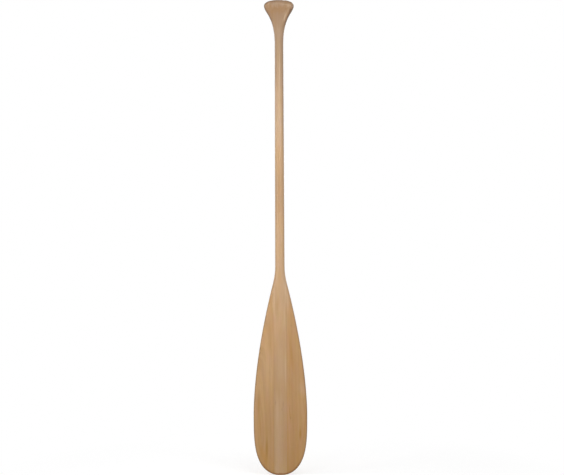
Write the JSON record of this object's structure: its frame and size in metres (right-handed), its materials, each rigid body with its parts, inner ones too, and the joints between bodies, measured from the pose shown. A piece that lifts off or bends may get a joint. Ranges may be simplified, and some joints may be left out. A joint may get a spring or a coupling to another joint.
{
  "type": "canoe paddle",
  "caption": "Wooden canoe paddle with a long blade widest near its rounded tip, an oval shaft and a flared palm grip, carved from a glued blank.",
  "frame": {"origin": "on the shaft's axis at the neck under the grip, 150 mm below the crown, where a rack's fork holds the paddle", "axes": "+Z along the shaft from the blade up to the grip, +X across the blade to the right, and the front face looks along -Y"},
  "size_m": [0.1634, 0.032, 1.448],
  "materials": {
    "stave_wood": "satin clear varnish on pale basswood",
    "wing_wood": "satin clear varnish on basswood",
    "cheek_wood": "satin clear varnish on basswood"
  },
  "bodies": {
    "root": {"centre_stave": "stave_wood", "left_blade_wing": "wing_wood", "right_blade_wing": "wing_wood", "left_grip_cheek": "cheek_wood", "right_grip_cheek": "cheek_wood"}
  },
  "joints": []
}
